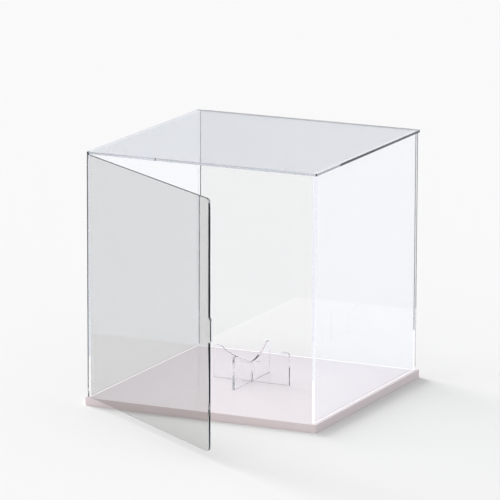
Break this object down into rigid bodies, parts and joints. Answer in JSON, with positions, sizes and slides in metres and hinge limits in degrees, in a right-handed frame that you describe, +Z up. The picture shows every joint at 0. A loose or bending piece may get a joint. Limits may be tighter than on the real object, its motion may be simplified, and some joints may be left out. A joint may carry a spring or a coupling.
{
  "type": "football display case",
  "caption": "Clear cube-shaped display case on a white base board, with a side-hung clear door and a loose crossed-plate ball stand.",
  "frame": {"origin": "centre of the base board's underside, on the surface the case stands on", "axes": "+Z up, +X to the right when facing the door side, +Y from the door side to the back wall"},
  "size_m": [0.3, 0.4663, 0.305],
  "materials": {
    "white_board": "satin white with a polished top",
    "clear_sheet": "clear polished acrylic",
    "door_sheet": "clear polished acrylic",
    "stand_sheet": "clear polished acrylic",
    "pin_steel": "turned stainless steel"
  },
  "bodies": {
    "case": {"base_board": "white_board", "left_panel": "clear_sheet", "right_panel": "clear_sheet", "back_panel": "clear_sheet", "top_panel": "clear_sheet", "lower_pivot_pin": "pin_steel", "upper_pivot_pin": "pin_steel"},
    "door": {"door_panel": "door_sheet"},
    "stand_lower": {"stand_plate_lower": "stand_sheet"},
    "stand_upper": {"stand_plate_upper": "stand_sheet"}
  },
  "joints": [
    {"name": "door_hinge", "type": "hinge", "parent": "case", "child": "door", "pos_m": [-0.146, -0.146, 0.01], "axis": [0, 0, -1], "range_deg": [-35, 145]},
    {"name": "stand_lift", "type": "slide", "parent": "case", "child": "stand_lower", "axis": [0, 0, 1], "range_m": [0, 0.06]},
    {"name": "plates_part", "type": "slide", "parent": "stand_lower", "child": "stand_upper", "axis": [0, 0, 1], "range_m": [0, 0.03]}
  ]
}
